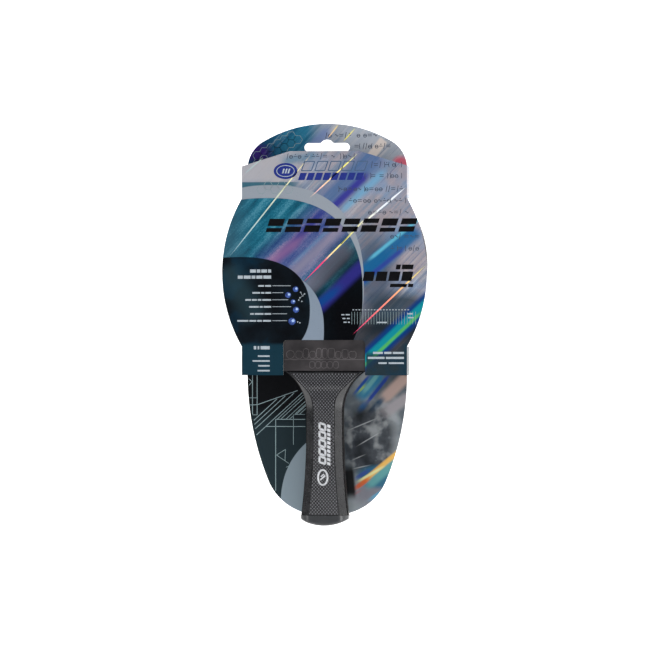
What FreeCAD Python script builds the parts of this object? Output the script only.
"""A table tennis paddle in its hanging card pack, as a parametric FreeCAD document, in millimetres.

Frame: +Z runs up the paddle from its butt to its tip and the front faces -Y. The origin is the middle of the
hang slot, on the rear face of the back card. "Forward" below is the distance from that rear face towards the
viewer, so a forward distance f lies at Y = -f.

The paddle is a laminated blade whose tongue runs down the handle, a glued rubber on each face (a sponge and a
topsheet), a tape round the edge, two moulded handle shells and an end cap. The pack is a back card with a
header and four side walls, and a front sleeve whose own walls are glued over those of the card.
"""

import FreeCAD, Part
import math
import os

import Sketcher

PARTS_FOLDER = "parts"

# alias: (value in millimetres or degrees, what it is)
DRIVING_DIMENSIONS = {
    # the pack
    "card": (0.6, "thickness of the back card"),
    "sleeve_card": (0.5, "thickness of the front sleeve"),
    "crown_radius": (92.0, "radius of the header's crown"),
    "crown_top": (17.2, "top of the header above the hang slot"),
    "corner_level": (-15.5, "where the header's corner arcs meet the straight edges"),
    "card_half": (58.3, "half the width of the back card"),
    "lobe_start": (-164.0, "where the lower lobe begins to narrow"),
    "lobe_side_radius": (206.0, "radius of the lobe's sides"),
    "lobe_corner_radius": (40.0, "radius of the lobe's lower corners"),
    "lobe_end_radius": (62.0, "radius of the lobe's lower end"),
    "lobe_end": (-267.6, "lower end of the lobe"),
    "slot_half": (16.5, "half the length of the hang slot"),
    "slot_radius": (3.15, "half the height of the hang slot"),
    "hump_radius": (5.6, "radius of the hump that a peg sits in"),
    "fold_half": (59.0, "outer face of the back card's side walls"),
    "card_wall_depth": (18.5, "how far forward the back card's walls reach"),
    "sleeve_half": (59.8, "half the width of the sleeve at its folds"),
    "sleeve_top": (-3.7, "upper edge of the sleeve"),
    "sleeve_top_half": (25.0, "half the straight stretch of that edge"),
    "sleeve_shoulder": (-14.4, "where the sleeve's sloping shoulders meet its sides"),
    "ear_start": (-37.6, "upper end of the round ears"),
    "ear_end": (-144.6, "lower end of the round ears"),
    "ear_half": (74.2, "half the width across the ears"),
    "sleeve_end": (-165.2, "lower edge of the sleeve"),
    "window_half": (29.6, "half the width of the window over the rubber's strip"),
    "window_top": (-139.8, "upper edge of the window"),
    "window_radius": (3.0, "radius of the window's upper corners"),
    "strip_overlap": (0.7, "how far the strip that carries a wall runs into the card"),
    "wall_gap": (0.9, "how far the sleeve's walls stop short of the rear face"),
    "band_inset": (1.0, "how much shorter the card's walls are than the sleeve's, at each end"),
    "glue_patch": (0.2, "thickness of the glue patches"),
    "glue_margin": (3.0, "how far a glue patch stops short of its wall's edges"),
    # the paddle's place in the pack
    "middle": (12.9, "forward distance of the blade's middle plane"),
    "sleeve_clearance": (0.35, "gap between the front rubber and the sleeve"),
    # the blade
    "head_radius": (73.5, "half the width of the blade"),
    "head_level": (-85.0, "level of the blade's widest point"),
    "side_radius": (89.9, "radius of the blade's lower sides"),
    "neck_level": (-162.0, "lower edge of the rubbers, where the handle begins"),
    "waist_half": (13.5, "half the width of the handle's waist"),
    "waist_end": (-205.0, "where the handle begins to flare"),
    "flare_radius": (510.0, "radius of the handle's flare"),
    "butt_level": (-266.0, "lower end of the blade's tongue and of the shells"),
    "core_ply": (2.9, "thickness of the core ply"),
    "inner_veneer": (0.8, "thickness of an inner veneer"),
    "carbon_ply": (0.25, "thickness of a carbon ply"),
    "outer_veneer": (0.65, "thickness of an outer veneer"),
    "glue_sheet": (0.1, "thickness of the sheet of glue under a rubber"),
    "sponge": (2.1, "thickness of a sponge"),
    "topsheet": (1.7, "thickness of a topsheet, pimples included"),
    "tape": (0.3, "thickness of the edge tape"),
    "tape_width": (9.0, "width of the edge tape"),
    "tape_end": (-157.0, "where the edge tape ends beside the neck"),
    # the handle
    "shell_inset": (0.8, "how far the shells stop short of the tongue's edge"),
    "shell_top": (-162.4, "upper edge of the shells"),
    "shell_top_half": (27.9, "half the width of the shells at that edge"),
    "shell_neck_radius": (34.9, "radius of the shells' shoulders"),
    "shell_edge": (6.4, "height of the shells' upright edge above the middle plane"),
    "bevel_angle": (43.3, "slope of the shells' bevels, from the upright"),
    "shell_overshoot": (12.0, "how far the shells are built past the butt before the face is cut"),
    "bevel_overshoot": (12.0, "height that the bevels are built to before the face is cut"),
    "wing_half_depth": (7.0, "height of the shoulders' face above the middle plane"),
    "grip_half_depth": (11.5, "height of the grip's face above the middle plane"),
    "rise_start": (-164.6, "where the face begins to rise from the shoulders"),
    "rise_end": (-184.5, "where the face reaches the grip's height"),
    "cavity_top": (-188.0, "upper end of the hollow in the shells"),
    "cavity_half": (9.6, "half the width of the shallow hollow"),
    "cavity_depth": (6.6, "height of the shallow hollow above the middle plane"),
    "deep_half": (5.8, "half the width of the deep hollow"),
    "deep_depth": (9.7, "height of the deep hollow above the middle plane"),
    "rib": (1.6, "thickness of the ribs across the hollow"),
    "cap_half": (17.4, "half the width of the end cap"),
    "cap_half_depth": (11.9, "half the depth of the end cap"),
    "cap_edge": (6.6, "half the height of the end cap's upright edges"),
    "cap_face_half": (12.3, "half the width of the end cap's flat faces"),
    "cap_gap": (0.1, "gap between the shells and the end cap"),
    "cap_end": (-273.4, "lowest point of the end cap"),
    "cap_radius": (35.3, "radius of the end cap's curved end"),
    "cap_overcut": (4.0, "how far the cut of the end cap's curved end reaches past its sides"),
    "cap_corner": (7.0, "rounding of the end cap's upright corners"),
    "cap_lip": (1.6, "rounding round the end cap's lower edge"),
    "spigot": (6.0, "length of the end cap's spigots"),
    "spigot_gap": (0.15, "gap between a spigot and the hollow that it fills"),
}

START, END, CENTRE = 1, 2, 3  # the points of a sketched edge, in Sketcher's numbering
ORIGIN_POINT = (-1, 1)
UPRIGHT_AXIS = -2
RIBS_PER_SHELL = 2
FAR = 40.0  # reach of a cut that goes right through
PROFILE_MARGIN = 8.0  # how far the face's cut reaches past the shells' ends


def make_sheet(doc):
    """The spreadsheet of driving dimensions."""
    sheet = doc.addObject("Spreadsheet::Sheet", "dims")
    for row, (alias, (value, meaning)) in enumerate(DRIVING_DIMENSIONS.items(), start=1):
        sheet.set(f"A{row}", meaning)
        sheet.set(f"B{row}", str(value))
        sheet.setAlias(f"B{row}", alias)
    doc.recompute()
    return sheet


def bound(expression):
    """An expression on aliases, such as "middle + core_ply / 2", written for the sheet's cells."""
    words = []
    for word in expression.replace("(", " ( ").replace(")", " ) ").split():
        words.append(f"dims.{word}" if word in DRIVING_DIMENSIONS else word)
    return " ".join(words)


def size(expression):
    """The value of such an expression, from the same driving dimensions."""
    values = {alias: value for alias, (value, _) in DRIVING_DIMENSIONS.items()}
    words = expression.replace("(", " ( ").replace(")", " ) ").split()
    total = " ".join(str(values.get(word, word)) for word in words)
    doc = FreeCAD.ActiveDocument
    return float(doc.getObject("dims").evalExpression(total))


class Profile:
    """A sketch on one of its body's origin planes, with edges that are joined and driven by the sheet."""

    def __init__(self, body, name, plane, offset="0"):
        self.sketch = body.newObject("Sketcher::SketchObject", f"{body.Name}_{name}")
        planes = [f for f in body.Origin.OriginFeatures if f.Role == plane]
        self.sketch.AttachmentSupport = [(planes[0], "")]
        self.sketch.MapMode = "FlatFace"
        self.sketch.AttachmentOffset = FreeCAD.Placement(
            FreeCAD.Vector(0, 0, size(offset)), FreeCAD.Rotation()
        )
        self.sketch.setExpression("AttachmentOffset.Base.z", bound(offset))

    def line(self, start, end):
        a, b = FreeCAD.Vector(*start, 0), FreeCAD.Vector(*end, 0)
        return self.sketch.addGeometry(Part.LineSegment(a, b), False)

    def arc(self, centre, start, end):
        """An arc that runs counter-clockwise about centre, from start to end."""
        radius = math.dist(centre, start)
        angles = [math.atan2(p[1] - centre[1], p[0] - centre[0]) for p in (start, end)]
        circle = Part.Circle(FreeCAD.Vector(*centre, 0), FreeCAD.Vector(0, 0, 1), radius)
        return self.sketch.addGeometry(Part.ArcOfCircle(circle, *angles), False)

    def rule(self, kind, *places):
        return self.sketch.addConstraint(Sketcher.Constraint(kind, *places))

    def drive(self, kind, *places, by):
        """A dimension that follows the sheet."""
        number = self.rule(kind, *places, size(by))
        self.sketch.setExpression(f"Constraints[{number}]", bound(by))

    def level(self, edge, point, by):
        self.drive("DistanceY", *ORIGIN_POINT, edge, point, by=by)

    def reach(self, edge, point, by):
        self.drive("DistanceX", *ORIGIN_POINT, edge, point, by=by)

    def rectangle(self, left, low, right, high):
        """A rectangle whose four sides follow expressions."""
        x0, z0, x1, z1 = (size(e) for e in (left, low, right, high))
        corners = [(x0, z0), (x1, z0), (x1, z1), (x0, z1)]
        sides = [self.line(corners[i], corners[(i + 1) % 4]) for i in range(4)]
        for i in range(4):
            self.rule("Coincident", sides[i], END, sides[(i + 1) % 4], START)
        for side, way in zip(sides, ("Horizontal", "Vertical", "Horizontal", "Vertical")):
            self.rule(way, side)
        self.reach(sides[0], START, by=left)
        self.level(sides[0], START, by=low)
        self.reach(sides[2], START, by=right)
        self.level(sides[2], START, by=high)


def new_body(doc, label):
    body = doc.addObject("PartDesign::Body", label)
    body.Label = label
    body.Placement = FreeCAD.Placement()
    return body


def pad(body, profile, name, length, backward=False, taper=None):
    """Extrudes a profile along its plane's normal, or against it."""
    feature = body.newObject("PartDesign::Pad", f"{body.Name}_{name}")
    feature.Profile = profile.sketch
    feature.Length = size(length)
    feature.setExpression("Length", bound(length))
    feature.Reversed = backward
    if taper:
        feature.TaperAngle = size(taper)
        feature.setExpression("TaperAngle", bound(taper))
    profile.sketch.Visibility = False
    return feature


def pocket(body, profile, name, length, forward=False):
    """Cuts a profile against its plane's normal, or along it, and makes sure that it took something away."""
    body.Document.recompute()
    before = body.Shape.Volume
    feature = body.newObject("PartDesign::Pocket", f"{body.Name}_{name}")
    feature.Profile = profile.sketch
    feature.Length = size(length)
    feature.setExpression("Length", bound(length))
    feature.Reversed = forward
    body.Document.recompute()
    if not feature.Shape.Volume < before - 1e-3:
        raise RuntimeError(f"{feature.Name} cuts nothing")
    return feature


def mirror(body, features, name="mirrored"):
    """Adds the other half of a body that was made on one side of the middle."""
    body.Document.recompute()
    feature = body.newObject("PartDesign::Mirrored", f"{body.Name}_{name}")
    planes = [f for f in body.Origin.OriginFeatures if f.Role == "YZ_Plane"]
    feature.Originals = features
    feature.MirrorPlane = (planes[0], [""])
    feature.Refine = True
    body.Tip = feature
    return feature


# The blade's outline, right half. The head is a half circle; a larger arc leads from its widest point to the
# neck; a hollow arc leads on to the waist, and the tongue widens again towards the butt.


def head_edges(profile, grow, end):
    """The head's two arcs from the axis at the top to the level "end", grown outwards by "grow"."""
    radius, side = size(f"head_radius + {grow}"), size(f"side_radius + {grow}")
    level, low = size("head_level"), size(end)
    side_centre = (radius - side, level)
    low_point = (side_centre[0] + math.sqrt(side**2 - (low - level) ** 2), low)
    top = profile.arc((0, level), (radius, level), (0, level + radius))
    lower = profile.arc(side_centre, low_point, (radius, level))
    profile.rule("Tangent", top, START, lower, END)
    profile.rule("PointOnObject", top, CENTRE, UPRIGHT_AXIS)
    profile.rule("PointOnObject", top, END, UPRIGHT_AXIS)
    profile.rule("Horizontal", top, CENTRE, top, START)
    profile.level(top, CENTRE, by="head_level")
    profile.drive("Radius", top, by=f"head_radius + {grow}")
    profile.drive("Radius", lower, by=f"side_radius + {grow}")
    profile.level(lower, START, by=end)
    return top, lower, low_point


def close_on_axis(profile, last, last_point, corner, first, first_point, first_place):
    """Closes a half outline with a level edge to the axis and an edge up the axis."""
    foot = (0, corner[1])
    across = profile.line(corner, foot)
    axis = profile.line(foot, first_place)
    profile.rule("Coincident", last, last_point, across, START)
    profile.rule("Coincident", across, END, axis, START)
    profile.rule("Coincident", axis, END, first, first_point)
    profile.rule("Horizontal", across)
    profile.rule("PointOnObject", across, END, UPRIGHT_AXIS)


def head_profile(body, name, offset, grow="0", end="neck_level"):
    """Half of the head, cut straight across at a level."""
    profile = Profile(body, name, "XZ_Plane", offset)
    top, lower, low_point = head_edges(profile, grow, end)
    tip = (0, size(f"head_level + head_radius + {grow}"))
    close_on_axis(profile, lower, START, low_point, top, END, tip)
    return profile


def blade_profile(body, name, offset):
    """Half of the whole blade, with its tongue."""
    profile = Profile(body, name, "XZ_Plane", offset)
    top, lower, neck = head_edges(profile, "0", "neck_level")
    side_centre = (size("head_radius - side_radius"), size("head_level"))
    away = [(n - c) / size("side_radius") for n, c in zip(neck, side_centre)]
    waist_half, waist_end = size("waist_half"), size("waist_end")
    hollow_radius = (neck[0] - waist_half) / (1 - away[0])
    hollow_centre = [n + hollow_radius * a for n, a in zip(neck, away)]
    waist = (waist_half, hollow_centre[1])
    flare_start = (waist_half, waist_end)
    flare_radius, butt = size("flare_radius"), size("butt_level")
    flare_centre = (waist_half + flare_radius, waist_end)
    butt_half = flare_centre[0] - math.sqrt(flare_radius**2 - (waist_end - butt) ** 2)
    hollow = profile.arc(hollow_centre, neck, waist)
    straight = profile.line(waist, flare_start)
    flare = profile.arc(flare_centre, flare_start, (butt_half, butt))
    profile.rule("Tangent", lower, START, hollow, START)
    profile.rule("Tangent", hollow, END, straight, START)
    profile.rule("Tangent", straight, END, flare, START)
    profile.rule("Vertical", straight)
    profile.reach(straight, START, by="waist_half")
    profile.level(straight, END, by="waist_end")
    profile.drive("Radius", flare, by="flare_radius")
    profile.level(flare, END, by="butt_level")
    tip = (0, size("head_level + head_radius"))
    close_on_axis(profile, flare, END, (butt_half, butt), top, END, tip)
    return profile


def layer(doc, label, make_profile, start, thickness):
    """One flat layer of the blade or of a rubber, whose rear face is "start" forward of the origin."""
    body = new_body(doc, label)
    profile = make_profile(body, "outline", start)
    half = pad(body, profile, "half", thickness)
    mirror(body, [half])
    return body


def make_layers(doc):
    """The plies, glue sheets, sponges and topsheets, from the core outwards on each side."""
    bodies = [layer(doc, "core_ply", blade_profile, "middle - core_ply / 2", "core_ply")]
    stack = [
        ("inner_veneer", "inner_veneer", blade_profile),
        ("carbon_ply", "carbon_ply", blade_profile),
        ("outer_veneer", "outer_veneer", blade_profile),
        ("glue_sheet", "glue_sheet", head_profile),
        ("sponge", "sponge", head_profile),
        ("topsheet", "topsheet", head_profile),
    ]
    below = "core_ply / 2"
    for name, thickness, outline in stack:
        above = f"{below} + {thickness}"
        front, back = f"middle + {below}", f"middle - ( {above} )"
        bodies.append(layer(doc, f"front_{name}", outline, front, thickness))
        bodies.append(layer(doc, f"back_{name}", outline, back, thickness))
        below = above
    return bodies


BLADE_HALF = "core_ply / 2 + inner_veneer + carbon_ply + outer_veneer"


def make_edge_tape(doc):
    """A strip round the head's edge, open at the neck."""
    body = new_body(doc, "edge_tape")
    start = "middle - tape_width / 2"
    outer = head_profile(body, "outer", start, grow="tape", end="tape_end")
    half = pad(body, outer, "half", "tape_width")
    mirror(body, [half])
    doc.recompute()
    inner = head_profile(body, "inner", start, end="neck_level")
    cut = pocket(body, inner, "inside", "tape_width", forward=True)
    planes = [f for f in body.Origin.OriginFeatures if f.Role == "YZ_Plane"]
    other = body.newObject("PartDesign::Mirrored", "edge_tape_both")
    other.Originals = [cut]
    other.MirrorPlane = (planes[0], [""])
    body.Tip = other
    return body


def shell_outline(body, name, offset, end):
    """The handle's outline across both halves: shoulders, waist and flare, run on to the level "end"."""
    profile = Profile(body, name, "XZ_Plane", offset)
    top, top_half = size("shell_top"), size("shell_top_half")
    waist, radius = size("waist_half - shell_inset"), size("shell_neck_radius")
    centre_x = waist + radius
    centre_z = top - math.sqrt(radius**2 - (centre_x - top_half) ** 2)
    flare_radius, flare_z, low = size("flare_radius"), size("waist_end"), size(end)
    flare_x = waist + flare_radius
    low_half = flare_x - math.sqrt(flare_radius**2 - (flare_z - low) ** 2)

    upper = profile.line((-top_half, top), (top_half, top))
    right_hollow = profile.arc((centre_x, centre_z), (top_half, top), (waist, centre_z))
    right_waist = profile.line((waist, centre_z), (waist, flare_z))
    right_flare = profile.arc((flare_x, flare_z), (waist, flare_z), (low_half, low))
    lower = profile.line((low_half, low), (-low_half, low))
    left_flare = profile.arc((-flare_x, flare_z), (-low_half, low), (-waist, flare_z))
    left_waist = profile.line((-waist, flare_z), (-waist, centre_z))
    left_hollow = profile.arc((-centre_x, centre_z), (-waist, centre_z), (-top_half, top))

    profile.rule("Coincident", upper, END, right_hollow, START)
    profile.rule("Tangent", right_hollow, END, right_waist, START)
    profile.rule("Tangent", right_waist, END, right_flare, START)
    profile.rule("Coincident", right_flare, END, lower, START)
    profile.rule("Coincident", lower, END, left_flare, START)
    profile.rule("Tangent", left_flare, END, left_waist, START)
    profile.rule("Tangent", left_waist, END, left_hollow, START)
    profile.rule("Coincident", left_hollow, END, upper, START)
    for across in (upper, lower):
        profile.rule("Symmetric", across, START, across, END, UPRIGHT_AXIS)
    for waist_line in (right_waist, left_waist):
        profile.rule("Vertical", waist_line)
    profile.rule("Equal", right_hollow, left_hollow)
    profile.rule("Equal", right_flare, left_flare)
    profile.level(upper, END, by="shell_top")
    profile.reach(upper, END, by="shell_top_half")
    profile.drive("Radius", right_hollow, by="shell_neck_radius")
    profile.drive("Radius", right_flare, by="flare_radius")
    profile.reach(right_waist, END, by="waist_half - shell_inset")
    profile.level(right_waist, END, by="waist_end")
    profile.level(right_flare, END, by=end)
    profile.drive("DistanceX", left_waist, START, *ORIGIN_POINT, by="waist_half - shell_inset")
    return profile


def face_cut(body, side):
    """What lies above the shell's face, seen from the side: low over the shoulders, higher over the grip."""
    profile = Profile(body, "face", "YZ_Plane")
    middle, wing, grip = size("middle"), size("wing_half_depth"), size("grip_half_depth")
    rise_start, rise_end = size("rise_start"), size("rise_end")
    rise, run = grip - wing, rise_start - rise_end
    turn = 2 * math.atan(rise / run)
    radius = run / (2 * math.sin(turn))
    top, butt = size("shell_top") + PROFILE_MARGIN, size("butt_level")

    def place(height, z):
        """A point of the side view, from its height above the middle plane."""
        return (-(middle + side * height), z)

    points = [place(wing, top), place(wing, rise_start)]
    halfway = place((wing + grip) / 2, (rise_start + rise_end) / 2)
    low_centre = place(wing + radius, rise_start)
    high_centre = place(grip - radius, rise_end)
    face = profile.line(points[0], points[1])
    if side > 0:
        low = profile.arc(low_centre, halfway, points[1])
        high = profile.arc(high_centre, halfway, place(grip, rise_end))
        low_ends, high_ends = (END, START), (START, END)
    else:
        low = profile.arc(low_centre, points[1], halfway)
        high = profile.arc(high_centre, place(grip, rise_end), halfway)
        low_ends, high_ends = (START, END), (END, START)
    grip_line = profile.line(place(grip, rise_end), place(grip, butt))
    inner, outer = place(0, butt), place(FAR / 2, butt - PROFILE_MARGIN * 2)
    corners = [
        place(grip, butt),
        inner,
        (inner[0], outer[1]),
        outer,
        (outer[0], top),
        place(wing, top),
    ]
    edges = [profile.line(corners[i], corners[i + 1]) for i in range(5)]

    profile.rule("Tangent", face, END, low, low_ends[0])
    profile.rule("Tangent", low, low_ends[1], high, high_ends[0])
    profile.rule("Tangent", high, high_ends[1], grip_line, START)
    profile.rule("Equal", low, high)
    chain = [grip_line, *edges, face]
    for a, b in zip(chain, chain[1:]):
        profile.rule("Coincident", a, END, b, START)
    for edge, way in zip(edges, ("Horizontal", "Vertical", "Horizontal", "Vertical", "Horizontal")):
        profile.rule(way, edge)
    for edge in (face, grip_line):
        profile.rule("Vertical", edge)
    sign = "+" if side > 0 else "-"
    profile.reach(face, END, by=f"0 - ( middle {sign} wing_half_depth )")
    profile.level(face, END, by="rise_start")
    profile.reach(grip_line, START, by=f"0 - ( middle {sign} grip_half_depth )")
    profile.level(grip_line, START, by="rise_end")
    profile.level(grip_line, END, by="butt_level")
    profile.reach(edges[1], START, by="0 - middle")
    profile.level(face, START, by=f"shell_top + {PROFILE_MARGIN}")
    profile.level(edges[2], START, by=f"butt_level - {PROFILE_MARGIN * 2}")
    profile.reach(edges[2], END, by=f"0 - ( middle {sign} {FAR / 2} )")
    return profile


def hollow_cells(body, name, offset, half):
    """Rectangles in a row down the handle, with a rib between each and the next; the last one is open."""
    profile = Profile(body, name, "XZ_Plane", offset)
    cells = RIBS_PER_SHELL + 1
    pitch = f"( cavity_top - butt_level + rib ) / {cells}"
    for i in range(cells):
        high = f"cavity_top - {i} * {pitch}"
        low = f"cavity_top - {i + 1} * {pitch} + rib"
        if i == cells - 1:
            low = "butt_level - rib"
        profile.rectangle(f"0 - {half}", low, half, high)
    return profile


def make_handle_shell(doc, label, side):
    """One moulded half of the handle; side is 1 for the front and -1 for the back."""
    body = new_body(doc, label)
    sign = "+" if side > 0 else "-"
    seat = f"middle {sign} ( {BLADE_HALF} )"
    edge = f"middle {sign} shell_edge"
    run_on = "butt_level - shell_overshoot"
    upright = shell_outline(body, "outline", seat, run_on)
    pad(body, upright, "upright", f"shell_edge - ( {BLADE_HALF} )", backward=side < 0)
    doc.recompute()
    sloped = shell_outline(body, "bevel_outline", edge, run_on)
    pad(
        body,
        sloped,
        "bevel",
        "bevel_overshoot - shell_edge",
        backward=side < 0,
        taper="0 - bevel_angle",
    )
    doc.recompute()
    face = face_cut(body, side)
    cut = body.newObject("PartDesign::Pocket", f"{label}_face_cut")
    cut.Profile = face.sketch
    cut.Length = 2 * FAR
    cut.SideType = "Symmetric"
    doc.recompute()
    for name, half, depth in (
        ("wide", "cavity_half", "cavity_depth"),
        ("deep", "deep_half", "deep_depth"),
    ):
        cells = hollow_cells(body, f"{name}_cells", seat, half)
        pocket(body, cells, f"{name}_hollow", f"{depth} - ( {BLADE_HALF} )", forward=side > 0)
    return body


def cap_outline(body, name, offset):
    """The butt's outline seen along the handle: an oblong with bevelled corners."""
    profile = Profile(body, name, "XY_Plane", offset)
    half, face, edge, depth = (
        size(e) for e in ("cap_half", "cap_face_half", "cap_edge", "cap_half_depth")
    )
    middle = -size("middle")
    corners = [
        (half, middle - edge),
        (half, middle + edge),
        (face, middle + depth),
        (-face, middle + depth),
        (-half, middle + edge),
        (-half, middle - edge),
        (-face, middle - depth),
        (face, middle - depth),
    ]
    sides = [profile.line(corners[i], corners[(i + 1) % 8]) for i in range(8)]
    for i, (x, y) in enumerate(corners):
        profile.rule("Coincident", sides[i], END, sides[(i + 1) % 8], START)
        on_edge = abs(x) == half
        across = "cap_half" if on_edge else "cap_face_half"
        away = "cap_edge" if on_edge else "cap_half_depth"
        profile.reach(sides[i], START, by=across if x > 0 else f"0 - {across}")
        profile.level(sides[i], START, by=f"0 - middle {'+' if y > middle else '-'} {away}")
    return profile


def cap_end_cut(body):
    """What lies below the cap's curved end, seen from the front."""
    profile = Profile(body, "end", "XZ_Plane")
    radius, low = size("cap_radius"), size("cap_end")
    half = size("cap_half + cap_overcut")
    centre = (0, low + radius)
    level = centre[1] - math.sqrt(radius**2 - half**2)
    floor = low - PROFILE_MARGIN
    curve = profile.arc(centre, (-half, level), (half, level))
    right = profile.line((half, level), (half, floor))
    across = profile.line((half, floor), (-half, floor))
    left = profile.line((-half, floor), (-half, level))
    profile.rule("Coincident", curve, END, right, START)
    profile.rule("Coincident", right, END, across, START)
    profile.rule("Coincident", across, END, left, START)
    profile.rule("Coincident", left, END, curve, START)
    profile.rule("PointOnObject", curve, CENTRE, UPRIGHT_AXIS)
    profile.rule("Vertical", right)
    profile.rule("Vertical", left)
    profile.rule("Horizontal", across)
    profile.drive("Radius", curve, by="cap_radius")
    profile.level(curve, CENTRE, by="cap_end + cap_radius")
    profile.reach(right, START, by="cap_half + cap_overcut")
    profile.reach(left, END, by="0 - ( cap_half + cap_overcut )")
    profile.level(across, START, by=f"cap_end - {PROFILE_MARGIN}")
    return profile


def fillet(body, name, radius, wanted):
    """Rounds the edges of the body for which wanted(edge) is true."""
    base = body.Tip
    names = [f"Edge{i}" for i, e in enumerate(base.Shape.Edges, start=1) if wanted(e)]
    if not names:
        raise RuntimeError(f"{body.Label}: no edge to round for {name}")
    feature = body.newObject("PartDesign::Fillet", f"{body.Name}_{name}")
    feature.Base = (base, names)
    feature.Radius = size(radius)
    feature.setExpression("Radius", bound(radius))
    body.Document.recompute()
    return feature


def make_end_cap(doc):
    """The moulded cap on the butt, with a spigot for the hollow of each shell."""
    body = new_body(doc, "end_cap")
    seat = "butt_level - cap_gap"
    outline = cap_outline(body, "outline", seat)
    pad(body, outline, "block", f"{seat} - cap_end", backward=True)
    doc.recompute()
    end = cap_end_cut(body)
    cut = body.newObject("PartDesign::Pocket", "end_cap_end_cut")
    cut.Profile = end.sketch
    cut.Length = 3 * FAR
    cut.SideType = "Symmetric"
    doc.recompute()

    def upright(edge):
        box = edge.BoundBox
        return box.ZLength > 1.0 and box.XLength < 0.01 and box.YLength < 0.01

    fillet(body, "corners", "cap_corner", upright)
    top = size(seat)
    fillet(body, "lip", "cap_lip", lambda edge: edge.BoundBox.ZMax < top - 1.0)
    for side, sign in ((1, "+"), (-1, "-")):
        spigot = Profile(body, f"spigot_{side + 1}", "XY_Plane", seat)
        near = f"0 - ( middle {sign} ( {BLADE_HALF} + spigot_gap ) )"
        far = f"0 - ( middle {sign} ( cavity_depth - spigot_gap ) )"
        low, high = (far, near) if side > 0 else (near, far)
        spigot.rectangle("0 - ( cavity_half - spigot_gap )", low, "cavity_half - spigot_gap", high)
        pad(body, spigot, f"spigot_pad_{side + 1}", "spigot")
        doc.recompute()
    return body


def card_outline(body):
    """Half of the back card: crown, straight edge, and the lobe behind the handle."""
    profile = Profile(body, "outline", "XZ_Plane")
    crown, top, half = size("crown_radius"), size("crown_top"), size("card_half")
    corner_z, lobe_z = size("corner_level"), size("lobe_start")
    crown_z = top - crown
    drop = corner_z - crown_z
    corner = (crown**2 - drop**2 - half**2) / (2 * (crown - half))
    corner_centre = (half - corner, corner_z)
    lean = math.atan2(corner_centre[0], drop)
    meet = (crown * math.sin(lean), crown_z + crown * math.cos(lean))

    side, round_r, end_r = (
        size(e) for e in ("lobe_side_radius", "lobe_corner_radius", "lobe_end_radius")
    )
    side_centre = (half - side, lobe_z)
    end_centre = (0, size("lobe_end") + end_r)
    arm, reach = end_r - round_r, side - round_r
    across, down = -side_centre[0], side_centre[1] - end_centre[1]
    length = math.hypot(across, down)
    wanted = (reach**2 - arm**2 - length**2) / (2 * arm * length)
    swing = math.asin(wanted) - math.atan2(down, across)
    low_centre = (arm * math.sin(swing), end_centre[1] - arm * math.cos(swing))
    low_meet = (end_r * math.sin(swing), end_centre[1] - end_r * math.cos(swing))
    away = [(c - s) / reach for c, s in zip(low_centre, side_centre)]
    side_meet = tuple(c + round_r * a for c, a in zip(low_centre, away))

    top_arc = profile.arc((0, crown_z), meet, (0, top))
    corner_arc = profile.arc(corner_centre, (half, corner_z), meet)
    edge = profile.line((half, corner_z), (half, lobe_z))
    side_arc = profile.arc(side_centre, side_meet, (half, lobe_z))
    round_arc = profile.arc(low_centre, low_meet, side_meet)
    end_arc = profile.arc(end_centre, (0, size("lobe_end")), low_meet)
    axis = profile.line((0, size("lobe_end")), (0, top))
    profile.rule("Tangent", top_arc, START, corner_arc, END)
    profile.rule("Tangent", corner_arc, START, edge, START)
    profile.rule("Tangent", edge, END, side_arc, END)
    profile.rule("Tangent", side_arc, START, round_arc, END)
    profile.rule("Tangent", round_arc, START, end_arc, END)
    profile.rule("Coincident", end_arc, START, axis, START)
    profile.rule("Coincident", axis, END, top_arc, END)
    profile.rule("Vertical", edge)
    for arc in (top_arc, end_arc):
        profile.rule("PointOnObject", arc, CENTRE, UPRIGHT_AXIS)
    profile.rule("PointOnObject", axis, START, UPRIGHT_AXIS)
    profile.rule("PointOnObject", axis, END, UPRIGHT_AXIS)
    profile.drive("Radius", top_arc, by="crown_radius")
    profile.level(top_arc, CENTRE, by="crown_top - crown_radius")
    profile.reach(edge, START, by="card_half")
    profile.level(edge, START, by="corner_level")
    profile.level(edge, END, by="lobe_start")
    profile.drive("Radius", side_arc, by="lobe_side_radius")
    profile.drive("Radius", round_arc, by="lobe_corner_radius")
    profile.drive("Radius", end_arc, by="lobe_end_radius")
    profile.level(end_arc, CENTRE, by="lobe_end + lobe_end_radius")
    return profile


# The two bands of side wall on each side, above and below the round ears: (lower end, upper end).
SLEEVE_BANDS = (("ear_start", "sleeve_shoulder"), ("sleeve_end", "ear_end"))


def card_band(low, high):
    """A band's ends on the back card, a little shorter than on the sleeve."""
    return f"{low} + band_inset", f"{high} - band_inset"


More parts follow.
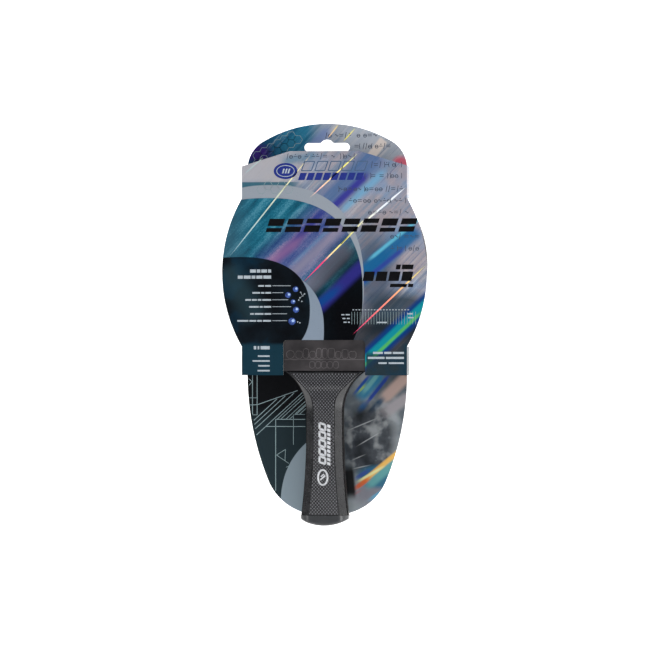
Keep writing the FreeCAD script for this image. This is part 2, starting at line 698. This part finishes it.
def make_back_card(doc):
    """The back card with its hang slot, and the four walls folded forward from it."""
    body = new_body(doc, "back_card")
    features = [pad(body, card_outline(body), "half", "card")]
    doc.recompute()
    for i, (low, high) in enumerate(SLEEVE_BANDS):
        low, high = card_band(low, high)
        strip = Profile(body, f"strip_{i}", "XZ_Plane")
        strip.rectangle("card_half - strip_overlap", low, "fold_half", high)
        features.append(pad(body, strip, f"strip_pad_{i}", "card"))
        doc.recompute()
        wall = Profile(body, f"wall_{i}", "XZ_Plane")
        wall.rectangle("fold_half - card", low, "fold_half", high)
        features.append(pad(body, wall, f"wall_pad_{i}", "card_wall_depth"))
        doc.recompute()
    mirror(body, features)
    doc.recompute()
    slot = Profile(body, "slot", "XZ_Plane")
    reach, radius = size("slot_half - slot_radius"), size("slot_radius")
    right = slot.arc((reach, 0), (reach, -radius), (reach, radius))
    upper = slot.line((reach, radius), (-reach, radius))
    left = slot.arc((-reach, 0), (-reach, radius), (-reach, -radius))
    lower = slot.line((-reach, -radius), (reach, -radius))
    for a, b in ((right, upper), (upper, left), (left, lower), (lower, right)):
        slot.rule("Tangent", a, END, b, START)
    slot.rule("Equal", right, left)
    slot.rule("Symmetric", right, CENTRE, left, CENTRE, *ORIGIN_POINT)
    slot.rule("Horizontal", upper)
    slot.drive("Radius", right, by="slot_radius")
    slot.reach(right, CENTRE, by="slot_half - slot_radius")
    pocket(body, slot, "slot_cut", "card", forward=True)
    hump = Profile(body, "hump", "XZ_Plane")
    rise = size("hump_radius")
    crown = hump.arc((0, 0), (rise, 0), (-rise, 0))
    chord = hump.line((-rise, 0), (rise, 0))
    hump.rule("Coincident", crown, END, chord, START)
    hump.rule("Coincident", chord, END, crown, START)
    hump.rule("Coincident", crown, CENTRE, *ORIGIN_POINT)
    hump.rule("Horizontal", chord)
    hump.drive("Radius", crown, by="hump_radius")
    pocket(body, hump, "hump_cut", "card", forward=True)
    return body


SLEEVE_INNER = (
    "middle + core_ply / 2 + inner_veneer + carbon_ply + outer_veneer + glue_sheet"
    " + sponge + topsheet + sleeve_clearance"
)


def sleeve_outline(body):
    """Half of the sleeve's front: shoulder, side, round ear, and the window that is open below."""
    profile = Profile(body, "outline", "XZ_Plane", SLEEVE_INNER)
    half, ear = size("sleeve_half"), size("ear_half")
    start, end = size("ear_start"), size("ear_end")
    window, window_z, rounding = (size(e) for e in ("window_half", "window_top", "window_radius"))
    chord, bulge = (start - end) / 2, ear - half
    ear_radius = (chord**2 + bulge**2) / (2 * bulge)
    top, shoulder, low = (size(e) for e in ("sleeve_top", "sleeve_shoulder", "sleeve_end"))
    top_half = size("sleeve_top_half")
    edges = [
        profile.line((0, top), (top_half, top)),
        profile.line((top_half, top), (half, shoulder)),
        profile.line((half, shoulder), (half, start)),
        profile.arc((ear - ear_radius, (start + end) / 2), (half, end), (half, start)),
        profile.line((half, end), (half, low)),
        profile.line((half, low), (window, low)),
        profile.line((window, low), (window, window_z - rounding)),
        profile.arc(
            (window - rounding, window_z - rounding),
            (window, window_z - rounding),
            (window - rounding, window_z),
        ),
        profile.line((window - rounding, window_z), (0, window_z)),
        profile.line((0, window_z), (0, top)),
    ]
    upper, slope, side, ear_arc, lower_side, foot, jamb, corner, head, axis = edges
    profile.rule("Coincident", upper, END, slope, START)
    profile.rule("Coincident", slope, END, side, START)
    profile.rule("Coincident", side, END, ear_arc, END)
    profile.rule("Coincident", ear_arc, START, lower_side, START)
    profile.rule("Coincident", lower_side, END, foot, START)
    profile.rule("Coincident", foot, END, jamb, START)
    profile.rule("Tangent", jamb, END, corner, START)
    profile.rule("Tangent", corner, END, head, START)
    profile.rule("Coincident", head, END, axis, START)
    profile.rule("Coincident", axis, END, upper, START)
    for edge in (upper, foot, head):
        profile.rule("Horizontal", edge)
    for edge in (side, lower_side, jamb):
        profile.rule("Vertical", edge)
    profile.rule("PointOnObject", axis, START, UPRIGHT_AXIS)
    profile.rule("PointOnObject", axis, END, UPRIGHT_AXIS)
    profile.level(upper, START, by="sleeve_top")
    profile.reach(upper, END, by="sleeve_top_half")
    profile.reach(side, START, by="sleeve_half")
    profile.level(side, START, by="sleeve_shoulder")
    profile.level(side, END, by="ear_start")
    profile.level(lower_side, START, by="ear_end")
    profile.reach(lower_side, START, by="sleeve_half")
    profile.drive(
        "Radius",
        ear_arc,
        by="( ( ear_start - ear_end ) * ( ear_start - ear_end ) / 4"
        " + ( ear_half - sleeve_half ) * ( ear_half - sleeve_half ) )"
        " / ( 2 * ( ear_half - sleeve_half ) )",
    )
    profile.level(foot, START, by="sleeve_end")
    profile.reach(foot, END, by="window_half")
    profile.drive("Radius", corner, by="window_radius")
    profile.level(head, START, by="window_top")
    return profile


def make_front_sleeve(doc):
    """The sleeve's printed front and the four walls folded back from it."""
    body = new_body(doc, "front_sleeve")
    features = [pad(body, sleeve_outline(body), "half", "sleeve_card")]
    doc.recompute()
    for i, (low, high) in enumerate(SLEEVE_BANDS):
        wall = Profile(body, f"wall_{i}", "XZ_Plane", "wall_gap")
        wall.rectangle("sleeve_half - sleeve_card", low, "sleeve_half", high)
        depth = f"{SLEEVE_INNER} + sleeve_card - wall_gap"
        features.append(pad(body, wall, f"wall_pad_{i}", depth))
        doc.recompute()
    mirror(body, features)
    return body


def make_glue_patches(doc):
    """Four patches of glue on the card's walls, which hold the sleeve's walls: one box a patch."""
    boxes = []
    for low, high in SLEEVE_BANDS:
        low, high = card_band(low, high)
        for side in (1, -1):
            box = doc.addObject("Part::Box", "glue_patch")
            left = "fold_half" if side > 0 else "0 - ( fold_half + glue_patch )"
            sizes = {
                "Length": "glue_patch",
                "Width": "card_wall_depth - card - 2 * glue_margin",
                "Height": f"( {high} ) - ( {low} ) - 2 * glue_margin",
                "Placement.Base.x": left,
                "Placement.Base.y": "0 - ( card_wall_depth - glue_margin )",
                "Placement.Base.z": f"{low} + glue_margin",
            }
            for name, expression in sizes.items():
                box.setExpression(name, bound(expression))
            boxes.append(box)
    doc.recompute()
    patches = doc.addObject("Part::Compound", "glue_patches")
    patches.Label = "glue_patches"
    patches.Links = boxes
    patches.Placement = FreeCAD.Placement()
    return patches


def check(doc, sub_parts):
    """Stops on anything that failed to compute, or isn't one valid closed solid a piece."""
    for item in doc.Objects:
        if {"Invalid", "Error"} & set(item.State):
            raise RuntimeError(f"{item.Label} failed: {item.State}")
    for item in sub_parts:
        shape = item.Shape
        if shape.isNull() or not shape.isValid() or not shape.Solids:
            raise RuntimeError(f"{item.Label} has no valid solid")
        box = shape.BoundBox
        print(
            f"{item.Label:22s} {len(shape.Solids)} solid(s) {shape.Volume / 1000:8.2f} cm3  "
            f"x {box.XMin:.1f}..{box.XMax:.1f}  y {box.YMin:.2f}..{box.YMax:.2f}  "
            f"z {box.ZMin:.1f}..{box.ZMax:.1f}"
        )


def main():
    doc = FreeCAD.newDocument("table_tennis_paddle")
    make_sheet(doc)
    sub_parts = make_layers(doc)
    sub_parts.append(make_edge_tape(doc))
    sub_parts.append(make_handle_shell(doc, "front_handle_shell", 1))
    sub_parts.append(make_handle_shell(doc, "back_handle_shell", -1))
    sub_parts.append(make_end_cap(doc))
    sub_parts.append(make_back_card(doc))
    sub_parts.append(make_front_sleeve(doc))
    sub_parts.append(make_glue_patches(doc))
    doc.recompute()
    check(doc, sub_parts)
    os.makedirs(PARTS_FOLDER, exist_ok=True)
    for item in sub_parts:
        item.Shape.exportStep(os.path.join(PARTS_FOLDER, f"{item.Label}.step"))


main()
